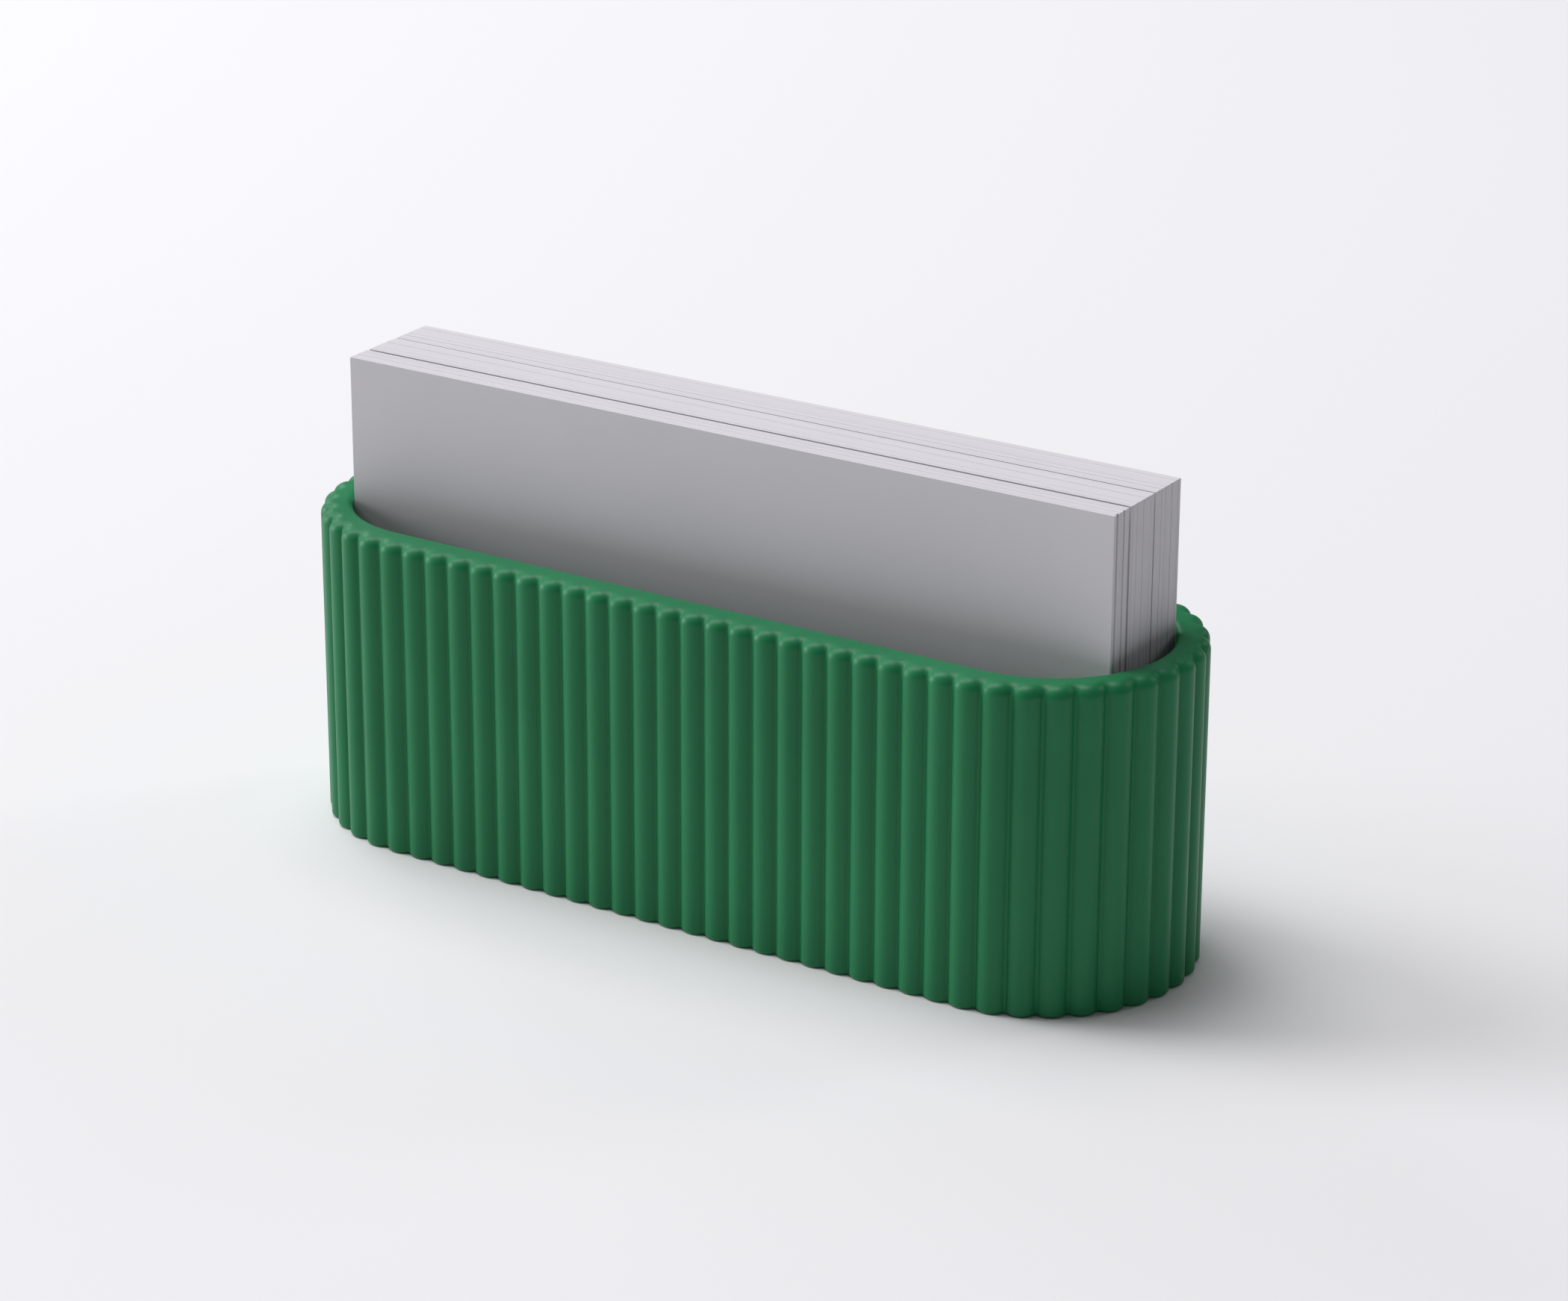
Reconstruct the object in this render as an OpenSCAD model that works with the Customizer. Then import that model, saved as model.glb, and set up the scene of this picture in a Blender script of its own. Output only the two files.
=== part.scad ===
// Desktop card holder: a ribbed, round-ended trough with a pack of plain cards standing in it.
// Millimetres, +Z up. The origin is the centre of the underside and +X runs along the trough.

/* [Holder] */
// Overall length, over the ribs
holder_len = 101; // [101:0.1:112]
// Overall depth from front to back, over the ribs
holder_dep = 32.55; // [32.5:0.05:44]
// Height of the rim above the table
holder_h = 34.3; // [25:0.1:45]
// Thickness of the pocket floor
floor_t = 1.8; // [1.2:0.1:4]
// Thickness of the long walls, from the rib tops to the pocket
side_wall = 3.88; // [3:0.01:3.9]
// Thickness of the end walls, from the rib tops to the pocket
end_wall = 3.27; // [3:0.01:3.3]
// Radius of the rounded outer edge of the rim
rim_round = 1; // [0.3:0.1:1]
// Radius of the rounded inner edge of the rim
lip_round = 0.7; // [0.3:0.1:0.8]
// Radius of the rounded edge round the underside
foot_round = 0.3; // [0.2:0.1:0.8]

/* [Ribs] */
// Number of upright ribs round the outside, a multiple of four
rib_count = 80; // [72:4:84]
// Radius of each half-round rib
rib_r = 1.76; // [1.7:0.01:2.1]
// Where the first rib stands, in rib spacings from the middle of the back towards +X
rib_phase = 0.82; // [0:0.01:1]

/* [Cards] */
// Width of one card
card_w = 90; // [80:1:90]
// Height of one card
card_h = 48; // [40:1:60]
// Thickness of one card
card_t = 0.4; // [0.2:0.01:0.4]
// Number of cards in front of the wide gap
front_cards = 7; // [2:1:7]
// Number of cards between the two gaps
middle_cards = 11; // [2:1:11]
// Number of cards behind the narrow gap
rear_cards = 12; // [2:1:12]
// Air between neighbouring cards
card_air = 0.022; // [0.02:0.002:0.022]
// The wide gap behind the front cards
wide_gap = 0.4; // [0.1:0.05:0.4]
// The narrow gap in front of the rear cards
narrow_gap = 0.18; // [0.05:0.01:0.18]
// How far a card may stand out of line sideways
card_jog = 0.02; // [0:0.01:0.06]
// How many degrees the pack stands out of square with the holder
pack_turn = 0.5; // [0:0.1:0.5]

/* [Hidden] */
$fn = 96;
over = 1; // how far a cutter runs past the face that it opens
holder_color = [0.22, 0.6, 0.42];
card_color = [0.9, 0.9, 0.91];

// The rib centres lie on a round-ended path: two straights joined by two half circles
path_r = holder_dep / 2 - rib_r;
path_half = (holder_len - holder_dep) / 2;
path_len = 4 * path_half + 2 * PI * path_r;

pocket_len = holder_len - 2 * end_wall;
pocket_dep = holder_dep - 2 * side_wall;

card_count = front_cards + middle_cards + rear_cards;
plain_gaps = card_count - 3;
stack_dep = card_count * card_t + plain_gaps * card_air + wide_gap + narrow_gap;
jog_turn = 137.5; // degrees from one card's place in the sideways scatter to the next

function card_name(i) = str("card_", i < 9 ? "0" : "", i + 1);
// Front face of card i, counted from the front
function card_y(i) = -stack_dep / 2 + i * (card_t + card_air)
    + (i >= front_cards ? wide_gap - card_air : 0)
    + (i >= front_cards + middle_cards ? narrow_gap - card_air : 0);
function card_x(i) = card_jog * cos(i * jog_turn);

// The point a distance s along the path from the middle of the back, going towards +X.
function on_end(s) = let (a = s / path_r * 180 / PI) [path_half + path_r * sin(a), path_r * cos(a)];
function on_back_half(s) =
    s < path_half ? [s, path_r]
    : s < path_half + PI * path_r ? on_end(s - path_half)
    : [2 * path_half + PI * path_r - s, -path_r];
function on_path(s) = s < path_len / 2 ? on_back_half(s) : -on_back_half(s - path_len / 2);

// A flat outline with two straight sides and two round ends
module round_ended(length, depth) {
    straight = length - depth;
    square([straight, depth], center = true);
    for (side = [-1, 1])
        translate([side * straight / 2, 0])
            circle(d = depth);
}

// Sweeps half of a cross-section, drawn at x >= 0, round the same round-ended plan
module swept(straight) {
    for (side = [-1, 1])
        translate([side * straight / 2, 0, 0])
            rotate_extrude()
                children();
    for (turn = [0, 180])
        rotate([0, 0, turn])
            translate([-straight / 2, 0, 0])
                rotate([90, 0, 90])
                    linear_extrude(straight)
                        children();
}

// Half of the outer cross-section, with its rim and foot rounded
module outer_half(w) {
    square([w - rim_round, holder_h]);
    square([w - foot_round, holder_h - rim_round]);
    translate([0, foot_round])
        square([w, holder_h - rim_round - foot_round]);
    translate([w - rim_round, holder_h - rim_round])
        circle(rim_round);
    translate([w - foot_round, foot_round])
        circle(foot_round);
}

// Half of the pocket's cross-section, flared where the lip is rounded
module pocket_half(w) {
    translate([0, floor_t])
        square([w, holder_h - floor_t + over]);
    translate([w, holder_h - lip_round])
        difference() {
            translate([-over, 0])
                square([lip_round + over, lip_round + over]);
            translate([lip_round, 0])
                circle(lip_round);
        }
}

// Plan of the trough: a round-ended core with half-round ribs all the way round
module ribbed_plan() {
    round_ended(holder_len - 2 * rib_r, holder_dep - 2 * rib_r);
    for (i = [0 : rib_count - 1])
        translate(on_path((i + rib_phase) * path_len / rib_count))
            circle(rib_r);
}

module holder() {
    color(holder_color)
        difference() {
            intersection() {
                linear_extrude(holder_h)
                    ribbed_plan();
                swept(holder_len - holder_dep)
                    outer_half(holder_dep / 2);
            }
            swept(pocket_len - pocket_dep)
                pocket_half(pocket_dep / 2);
        }
}

// One plain card, standing on the pocket floor
module card(i) {
    color(card_color)
        rotate([0, 0, pack_turn])
            translate([card_x(i) - card_w / 2, card_y(i), floor_t])
                cube([card_w, card_t, card_h]);
}

holder();
for (i = [0 : card_count - 1])
    card(i);
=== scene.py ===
"""A desktop card holder with a pack of plain cards: the looks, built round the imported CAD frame.

Metres, +Z up, the camera side is -Y. The ribbed trough and every card replace their plain CAD nodes.
"""

import math
import random

import bpy
import numpy as np
from mathutils import Matrix, Vector


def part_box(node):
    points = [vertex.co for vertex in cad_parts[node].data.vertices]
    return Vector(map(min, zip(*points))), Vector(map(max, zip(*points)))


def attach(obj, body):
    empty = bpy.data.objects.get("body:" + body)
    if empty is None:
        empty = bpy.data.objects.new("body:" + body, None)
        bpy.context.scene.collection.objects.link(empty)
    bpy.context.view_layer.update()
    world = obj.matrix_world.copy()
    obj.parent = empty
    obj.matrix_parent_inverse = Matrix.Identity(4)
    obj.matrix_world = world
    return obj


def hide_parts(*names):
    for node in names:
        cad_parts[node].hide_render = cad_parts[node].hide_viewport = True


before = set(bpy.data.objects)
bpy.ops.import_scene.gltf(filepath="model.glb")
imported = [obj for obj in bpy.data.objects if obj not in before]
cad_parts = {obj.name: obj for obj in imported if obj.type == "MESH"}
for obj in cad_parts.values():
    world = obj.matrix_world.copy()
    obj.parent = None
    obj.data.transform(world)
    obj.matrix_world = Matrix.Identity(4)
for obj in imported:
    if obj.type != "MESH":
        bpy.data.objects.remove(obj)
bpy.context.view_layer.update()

MM = 0.001

# The trough, in metres. Its overall size comes from the frame.
holder_low, holder_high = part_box("holder")
HOLDER_LENGTH = holder_high.x - holder_low.x
HOLDER_DEPTH = holder_high.y - holder_low.y
HOLDER_HEIGHT = holder_high.z
POCKET_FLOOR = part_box("card_01")[0].z
SIDE_WALL = 3.88 * MM
END_WALL = 3.27 * MM
RIM_ROUND = 1.25 * MM
LIP_ROUND = 0.7 * MM
FOOT_ROUND = 0.45 * MM
FLOOR_FILLET = 1.2 * MM
RIB_COUNT = 80
RIB_RADIUS = 1.76 * MM
RIB_PHASE = 0.82  # where the first rib stands, in rib spacings from the middle of the back towards +X
VALLEY_BLEND = 0.5 * MM

# The round-ended path that the rib centres follow
PATH_RADIUS = HOLDER_DEPTH / 2 - RIB_RADIUS
PATH_HALF = (HOLDER_LENGTH - HOLDER_DEPTH) / 2
PATH_LENGTH = 4 * PATH_HALF + 2 * math.pi * PATH_RADIUS
POCKET_RADIUS = HOLDER_DEPTH / 2 - SIDE_WALL
POCKET_HALF = HOLDER_LENGTH / 2 - END_WALL - POCKET_RADIUS

# How finely the trough is built
STEPS_PER_RIB = 24
VALLEY_CROWDING = 0.6  # 0 spaces the steps evenly, and more of it crowds them into the valleys
WALL_ROWS = 10
ROUND_ROWS = 9
RIM_ROWS = 3


# ---------------------------------------------------------------- the trough

def path_places():
    """Distances along the path from the middle of the back, crowded into the valleys between ribs."""
    share = np.arange(RIB_COUNT * STEPS_PER_RIB) / STEPS_PER_RIB
    rib = np.floor(share + 0.5)
    phase = share - rib
    eased = phase + VALLEY_CROWDING * np.sin(2 * np.pi * phase) / (2 * np.pi)
    return (rib + eased + RIB_PHASE) * PATH_LENGTH / RIB_COUNT


def plan_frame(distance):
    """Where along X each place's centre of curvature is, as a share of the half straight, and its normal."""
    quarter_arc = math.pi * PATH_RADIUS / 2
    corners = np.cumsum([0, PATH_HALF, 2 * quarter_arc, 2 * PATH_HALF, 2 * quarter_arc, PATH_HALF])
    shares = [0, 1, 1, -1, -1, 0]
    angles = [math.pi / 2, math.pi / 2, -math.pi / 2, -math.pi / 2, -3 * math.pi / 2, -3 * math.pi / 2]
    wrapped = np.mod(distance, PATH_LENGTH)
    centre = np.interp(wrapped, corners, shares)
    angle = np.interp(wrapped, corners, angles)
    return centre, np.stack([np.cos(angle), np.sin(angle)], axis=1)


def round_ended(centre, normal, half, radius):
    """Points of a round-ended outline with that half straight and that radius."""
    points = normal * radius
    points[:, 0] += centre * half
    return points


def rib_reach(points, normal, rib_distance):
    """How far along the normals the rib centred at each distance reaches from the points."""
    centre, rib_normal = plan_frame(rib_distance)
    to_rib = round_ended(centre, rib_normal, PATH_HALF, PATH_RADIUS) - points
    along = (to_rib * normal).sum(axis=1)
    across_squared = (to_rib ** 2).sum(axis=1) - along ** 2
    return along + np.sqrt(np.maximum(RIB_RADIUS ** 2 - across_squared, 0))


def ribbed_outline(distance, centre, normal):
    """The outer outline: the rib path plus the reach of the two nearest ribs, blended where they meet."""
    points = round_ended(centre, normal, PATH_HALF, PATH_RADIUS)
    pitch = PATH_LENGTH / RIB_COUNT
    before = (np.floor(distance / pitch - RIB_PHASE) + RIB_PHASE) * pitch
    first = rib_reach(points, normal, before)
    second = rib_reach(points, normal, before + pitch)
    overlap = np.maximum(VALLEY_BLEND - np.abs(first - second), 0)
    reach = np.maximum(first, second) + overlap ** 2 / (4 * VALLEY_BLEND)
    return points + normal * reach[:, None]


def outline_normals(outline):
    """Outward normals of a closed outline that runs clockwise."""
    tangent = np.roll(outline, -1, axis=0) - np.roll(outline, 1, axis=0)
    normal = np.stack([-tangent[:, 1], tangent[:, 0]], axis=1)
    return normal / np.linalg.norm(normal, axis=1)[:, None]


def at_height(outline, height):
    """A flat outline as a ring of points at one height."""
    return np.column_stack([outline, np.full(len(outline), height)])


def trough_rings():
    """Rings of points from the foot, up the ribbed wall, over the rim and down the pocket to its floor."""
    distance = path_places()
    centre, normal = plan_frame(distance)
    outer = ribbed_outline(distance, centre, normal)
    outer_normal = outline_normals(outer)
    pocket = round_ended(centre, normal, POCKET_HALF, POCKET_RADIUS)
    quarter = np.linspace(0, math.pi / 2, ROUND_ROWS)

    rings = []
    for angle in quarter[::-1]:
        inset = FOOT_ROUND * (1 - math.cos(angle))
        rings.append(at_height(outer - outer_normal * inset, FOOT_ROUND * (1 - math.sin(angle))))
    for height in np.linspace(FOOT_ROUND, HOLDER_HEIGHT - RIM_ROUND, WALL_ROWS)[1:-1]:
        rings.append(at_height(outer, height))
    for angle in quarter:
        inset = RIM_ROUND * (1 - math.cos(angle))
        height = HOLDER_HEIGHT - RIM_ROUND * (1 - math.sin(angle))
        rings.append(at_height(outer - outer_normal * inset, height))
    rim_edge = outer - outer_normal * RIM_ROUND
    lip_edge = pocket + normal * LIP_ROUND
    for share in np.linspace(0, 1, RIM_ROWS + 2)[1:-1]:
        rings.append(at_height(rim_edge + (lip_edge - rim_edge) * share, HOLDER_HEIGHT))
    for angle in quarter:
        outset = LIP_ROUND * (1 - math.sin(angle))
        height = HOLDER_HEIGHT - LIP_ROUND * (1 - math.cos(angle))
        rings.append(at_height(pocket + normal * outset, height))
    top, bottom = HOLDER_HEIGHT - LIP_ROUND, POCKET_FLOOR + FLOOR_FILLET
    for height in np.linspace(top, bottom, WALL_ROWS)[1:-1]:
        rings.append(at_height(pocket, height))
    for angle in quarter:
        inset = FLOOR_FILLET * (1 - math.cos(angle))
        height = POCKET_FLOOR + FLOOR_FILLET * (1 - math.sin(angle))
        rings.append(at_height(pocket - normal * inset, height))
    return rings


def mesh_object(name, points, faces, smooth_faces):
    """A new mesh object, with the first smooth_faces faces smooth and the rest flat."""
    mesh = bpy.data.meshes.new(name)
    mesh.from_pydata([tuple(p) for p in points], [], faces)
    mesh.polygons.foreach_set("use_smooth", [i < smooth_faces for i in range(len(faces))])
    mesh.update()
    made = bpy.data.objects.new(name, mesh)
    bpy.context.scene.collection.objects.link(made)
    return made


def build_trough():
    rings = trough_rings()
    count = len(rings[0])
    faces = []
    for row in range(len(rings) - 1):
        low, high = row * count, (row + 1) * count
        for i in range(count):
            j = (i + 1) % count
            faces.append((low + j, low + i, high + i, high + j))
    wall_faces = len(faces)
    last = (len(rings) - 1) * count
    faces.append(tuple(range(count)))
    faces.append(tuple(last + i for i in reversed(range(count))))
    return mesh_object("ribbed_trough", np.vstack(rings), faces, wall_faces)


# ---------------------------------------------------------------- the cards

CARD_NAMES = sorted(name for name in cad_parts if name.startswith("card_"))
CARD_TURN = math.radians(0.5)  # how far the pack stands out of square with the trough
CARD_THICKNESS = 0.4 * MM
CARD_EDGE = 0.01 * MM  # how far the cut edges are rounded
CARD_SWELL = 0.0105 * MM  # how far a tightly packed card's faces stand into the CAD model's air gap
LOOSE_CARDS = (1, 4)  # counted from 0, not swollen, so about half the CAD model's air stays beside them
SHORT_CARDS = {1: 0.12 * MM, 4: 0.06 * MM}  # cut short at the right end
CARD_COLUMNS = 24
CARD_ROWS = 12
CARD_SEED = 7
TRIM_SPREAD = 0.03 * MM  # the most that a card is cut low
FIRST_REAR_CARD = 18
REAR_LEAN = 0.075 * MM  # how much nearer the front the rear cards' left ends stand


def card_loops(width, height):
    """The face of a card as a grid of (x, z) places, and the order of the places round its rim."""
    columns = np.linspace(CARD_EDGE - width / 2, width / 2 - CARD_EDGE, CARD_COLUMNS + 1)
    rows = np.linspace(CARD_EDGE, height - CARD_EDGE, CARD_ROWS + 1)
    places = [(x, z) for z in rows for x in columns]
    across = CARD_COLUMNS + 1
    top_row = across * CARD_ROWS
    rim = list(range(CARD_COLUMNS))
    rim += [CARD_COLUMNS + across * r for r in range(CARD_ROWS)]
    rim += [top_row + c for c in range(CARD_COLUMNS, 0, -1)]
    rim += [across * r for r in range(CARD_ROWS, 0, -1)]
    return places, rim


def set_out(place, width, height, amount):
    """A rim place moved outwards, square to the card's edges."""
    x, z = place
    just_inside = 1.5 * CARD_EDGE
    reach_x, reach_z = width / 2 - just_inside, height / 2 - just_inside
    side = int(x > reach_x) - int(x < -reach_x)
    lift = int(z - height / 2 > reach_z) - int(z - height / 2 < -reach_z)
    return x + side * amount, z + lift * amount


def card_quads(rim):
    """Faces of the front grid, then the back grid, then the rounded edge between them."""
    across = CARD_COLUMNS + 1
    grid = across * (CARD_ROWS + 1)
    quads = []
    for r in range(CARD_ROWS):
        for c in range(CARD_COLUMNS):
            a = r * across + c
            quad = (a, a + 1, a + 1 + across, a + across)
            quads.append(quad)
            quads.append(tuple(grid + i for i in reversed(quad)))
    edge_rings = [[2 * grid + ring * len(rim) + i for i in range(len(rim))] for ring in range(4)]
    loops = [rim] + edge_rings + [[grid + i for i in rim]]
    for near, far in zip(loops, loops[1:]):
        for i in range(len(rim)):
            j = (i + 1) % len(rim)
            quads.append((near[j], near[i], far[i], far[j]))
    return quads


def build_card(name, rng):
    """One card: two faces, with rounded edges between them, turned with the rest of the pack."""
    low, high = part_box(name)
    centre = (low + high) / 2
    width = (high.x - low.x - CARD_THICKNESS * math.sin(CARD_TURN)) / math.cos(CARD_TURN)
    height = high.z - low.z - rng.random() * TRIM_SPREAD
    places, rim = card_loops(width, height)
    number = CARD_NAMES.index(name)
    half = CARD_THICKNESS / 2 + (0 if number in LOOSE_CARDS else CARD_SWELL)
    lean = REAR_LEAN / 2 if number >= FIRST_REAR_CARD else 0
    short = SHORT_CARDS.get(number, 0)

    soft = CARD_EDGE * (1 - math.sqrt(0.5))
    edge = [(CARD_EDGE - soft, soft - half), (CARD_EDGE, CARD_EDGE - half),
            (CARD_EDGE, half - CARD_EDGE), (CARD_EDGE - soft, half - soft)]
    points = [(x, -half, z) for x, z in places]
    points += [(x, half, z) for x, z in places]
    for amount, depth in edge:
        for i in rim:
            x, z = set_out(places[i], width, height, amount)
            points.append((x, depth, z))

    c, s = math.cos(CARD_TURN), math.sin(CARD_TURN)
    turned = []
    for x, y, z in points:
        y += lean * (2 * x / width - 1)
        x -= short * (x / width + 0.5)
        turned.append((centre.x + c * x - s * y, centre.y + s * x + c * y, low.z + z))
    return mesh_object(name + "_sheet", turned, card_quads(rim), 0)


# ---------------------------------------------------------------- materials

GREEN_DARK = (0.010, 0.180, 0.064)
GREEN_LIGHT = (0.014, 0.205, 0.076)
GREEN_ROUGHNESS = (0.40, 0.47)
GREEN_GLOSS = 0.26
PLASTIC_IOR = 1.5
CARD_DARK = (0.645, 0.632, 0.665)
CARD_LIGHT = (0.695, 0.682, 0.715)
CARD_ROUGHNESS = (0.78, 0.9)
CARD_GLOSS = 0.3
CARD_LAYER_SHARE = 0.6  # how much of a card's tone is its own and not its clouding
FLOOR_DARK = (0.84, 0.84, 0.85)
FLOOR_LIGHT = (0.85, 0.85, 0.86)
FLOOR_ROUGHNESS = 0.9
FLOOR_GLOSS = 0.2
NOISE_LOW = 0.3  # the noise textures mostly stay between these two values
NOISE_HIGH = 0.7


def new_material(name):
    """A material with its node list, its links and its main shader."""
    material = bpy.data.materials.new(name)
    material.use_nodes = True
    nodes = material.node_tree.nodes
    return material, nodes, material.node_tree.links, nodes["Principled BSDF"]


def add_noise(nodes, links, scale, detail, stretch=(1, 1, 1)):
    """A noise texture in object space, stretched along the axes."""
    place = nodes.new("ShaderNodeTexCoord")
    mapping = nodes.new("ShaderNodeMapping")
    mapping.inputs["Scale"].default_value = stretch
    noise = nodes.new("ShaderNodeTexNoise")
    noise.inputs["Scale"].default_value = scale
    noise.inputs["Detail"].default_value = detail
    links.new(place.outputs["Object"], mapping.inputs["Vector"])
    links.new(mapping.outputs["Vector"], noise.inputs["Vector"])
    return noise.outputs["Fac"]


def ramp(nodes, links, source, stops):
    """A colour ramp with those (place, colour) stops."""
    made = nodes.new("ShaderNodeValToRGB")
    elements = made.color_ramp.elements
    while len(elements) < len(stops):
        elements.new(0.5)
    for element, (place, colour) in zip(elements, stops):
        element.position = place
        element.color = (*colour, 1)
    links.new(source, made.inputs["Fac"])
    return made.outputs["Color"]


def spread(nodes, links, source, low, high):
    """The noise's usual range mapped onto low to high."""
    made = nodes.new("ShaderNodeMapRange")
    made.inputs["From Min"].default_value = NOISE_LOW
    made.inputs["From Max"].default_value = NOISE_HIGH
    made.inputs["To Min"].default_value = low
    made.inputs["To Max"].default_value = high
    links.new(source, made.inputs["Value"])
    return made.outputs["Result"]


def bump(nodes, links, source, strength, distance, under=None):
    """A bump from the source, laid over the one under it if there is one."""
    made = nodes.new("ShaderNodeBump")
    made.inputs["Strength"].default_value = strength
    made.inputs["Distance"].default_value = distance
    links.new(source, made.inputs["Height"])
    if under is not None:
        links.new(under, made.inputs["Normal"])
    return made.outputs["Normal"]


def green_plastic():
    material, nodes, links, shader = new_material("satin_green_plastic")
    cloud = add_noise(nodes, links, scale=55, detail=3)
    grain = add_noise(nodes, links, scale=2600, detail=2)
    flow = add_noise(nodes, links, scale=400, detail=2, stretch=(1, 1, 0.15))
    colour = ramp(nodes, links, cloud, [(NOISE_LOW, GREEN_DARK), (NOISE_HIGH, GREEN_LIGHT)])
    links.new(colour, shader.inputs["Base Color"])
    links.new(spread(nodes, links, flow, *GREEN_ROUGHNESS), shader.inputs["Roughness"])
    waves = bump(nodes, links, flow, strength=0.15, distance=0.02 * MM)
    surface = bump(nodes, links, grain, strength=0.25, distance=0.012 * MM, under=waves)
    links.new(surface, shader.inputs["Normal"])
    shader.inputs["IOR"].default_value = PLASTIC_IOR
    shader.inputs["Specular IOR Level"].default_value = GREEN_GLOSS
    return material


def card_stock():
    """Uncoated card: fibre in the faces, and a slightly different tone from one card to the next."""
    material, nodes, links, shader = new_material("plain_card_stock")
    fibre = add_noise(nodes, links, scale=1500, detail=4, stretch=(0.5, 1, 1))
    cloud = add_noise(nodes, links, scale=70, detail=3)
    layers = add_noise(nodes, links, scale=1, detail=1, stretch=(6, 1700, 6))
    tones = nodes.new("ShaderNodeMix")
    tones.data_type = "FLOAT"
    tones.inputs["Factor"].default_value = CARD_LAYER_SHARE
    links.new(cloud, tones.inputs["A"])
    links.new(layers, tones.inputs["B"])
    colour = ramp(nodes, links, tones.outputs["Result"], [(NOISE_LOW, CARD_DARK), (NOISE_HIGH, CARD_LIGHT)])
    links.new(colour, shader.inputs["Base Color"])
    links.new(spread(nodes, links, fibre, *CARD_ROUGHNESS), shader.inputs["Roughness"])
    surface = bump(nodes, links, fibre, strength=0.45, distance=0.02 * MM)
    links.new(surface, shader.inputs["Normal"])
    shader.inputs["Specular IOR Level"].default_value = CARD_GLOSS
    return material


def floor_finish():
    material, nodes, links, shader = new_material("pale_floor")
    cloud = add_noise(nodes, links, scale=3, detail=2)
    colour = ramp(nodes, links, cloud, [(NOISE_LOW, FLOOR_DARK), (NOISE_HIGH, FLOOR_LIGHT)])
    links.new(colour, shader.inputs["Base Color"])
    shader.inputs["Roughness"].default_value = FLOOR_ROUGHNESS
    shader.inputs["Specular IOR Level"].default_value = FLOOR_GLOSS
    return material


# ---------------------------------------------------------------- studio

FLOOR_HALF = 6
AMBIENT_COLOUR = (0.975, 0.97, 1.0)
AMBIENT_STRENGTH = 0.12
LIGHT_COLOUR = (1, 0.99, 1.012)
LIGHT_DISTANCE = 2
# Each soft light's name, bearing from +X towards +Y and elevation in degrees, width in metres, power in watts
LIGHTS = [
    ("low", 197, 12, 0.9, 17),
    ("key", 192, 47, 0.8, 12),
    ("high", 192, 75, 0.9, 8),
    ("back_low", 150, 25, 0.9, 4),
    ("back_high", 152, 74, 1.4, 16),
    ("right_fill", 60, 30, 0.55, 3),
]

CAMERA_AZIMUTH = math.radians(32.990)
CAMERA_ELEVATION = math.radians(21.154)
CAMERA_ROLL = math.radians(0.210)
CAMERA_DISTANCE = 494.34 * MM
CAMERA_SIDESTEP = 3.445 * MM
CAMERA_LIFT = 23.002 * MM
SENSOR_WIDTH = 36
LENS = 109.74


def build_floor():
    corners = [(-1, -1), (1, -1), (1, 1), (-1, 1)]
    points = [(x * FLOOR_HALF, y * FLOOR_HALF, 0) for x, y in corners]
    floor = mesh_object("floor", points, [(0, 1, 2, 3)], 0)
    floor.data.materials.append(floor_finish())


def build_world():
    world = bpy.data.worlds.new("studio")
    world.use_nodes = True
    background = world.node_tree.nodes["Background"]
    background.inputs["Color"].default_value = (*AMBIENT_COLOUR, 1)
    background.inputs["Strength"].default_value = AMBIENT_STRENGTH
    bpy.context.scene.world = world


def build_light(name, bearing, elevation, width, power):
    """A round soft light that faces the origin."""
    light = bpy.data.lights.new(name, "AREA")
    light.shape = "DISK"
    light.size = width
    light.energy = power
    light.color = LIGHT_COLOUR
    made = bpy.data.objects.new(name, light)
    around, up = math.radians(bearing), math.radians(elevation)
    direction = Vector((math.cos(around) * math.cos(up), math.sin(around) * math.cos(up), math.sin(up)))
    made.location = direction * LIGHT_DISTANCE
    made.rotation_mode = "QUATERNION"
    made.rotation_quaternion = direction.to_track_quat("Z", "Y")
    bpy.context.scene.collection.objects.link(made)


def build_camera():
    back = Vector((math.sin(CAMERA_AZIMUTH) * math.cos(CAMERA_ELEVATION),
                   -math.cos(CAMERA_AZIMUTH) * math.cos(CAMERA_ELEVATION),
                   math.sin(CAMERA_ELEVATION)))
    right = (-back).cross(Vector((0, 0, 1))).normalized()
    up = right.cross(-back)
    rolled_right = right * math.cos(CAMERA_ROLL) + up * math.sin(CAMERA_ROLL)
    rolled_up = up * math.cos(CAMERA_ROLL) - right * math.sin(CAMERA_ROLL)
    lens = bpy.data.cameras.new("camera")
    lens.sensor_width = SENSOR_WIDTH
    lens.lens = LENS
    camera = bpy.data.objects.new("camera", lens)
    camera.rotation_mode = "QUATERNION"
    camera.location = back * CAMERA_DISTANCE + right * CAMERA_SIDESTEP + up * CAMERA_LIFT
    camera.rotation_quaternion = Matrix((rolled_right, rolled_up, back)).transposed().to_quaternion()
    bpy.context.scene.collection.objects.link(camera)
    bpy.context.scene.camera = camera


# ---------------------------------------------------------------- put together

bpy.context.scene.view_settings.view_transform = "Standard"

trough = build_trough()
trough.data.materials.append(green_plastic())
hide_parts("holder")
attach(trough, "holder")

stock = card_stock()
card_rng = random.Random(CARD_SEED)
for card_name in CARD_NAMES:
    card = build_card(card_name, card_rng)
    card.data.materials.append(stock)
    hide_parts(card_name)
    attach(card, card_name)

build_floor()
build_world()
for light_facts in LIGHTS:
    build_light(*light_facts)
build_camera()
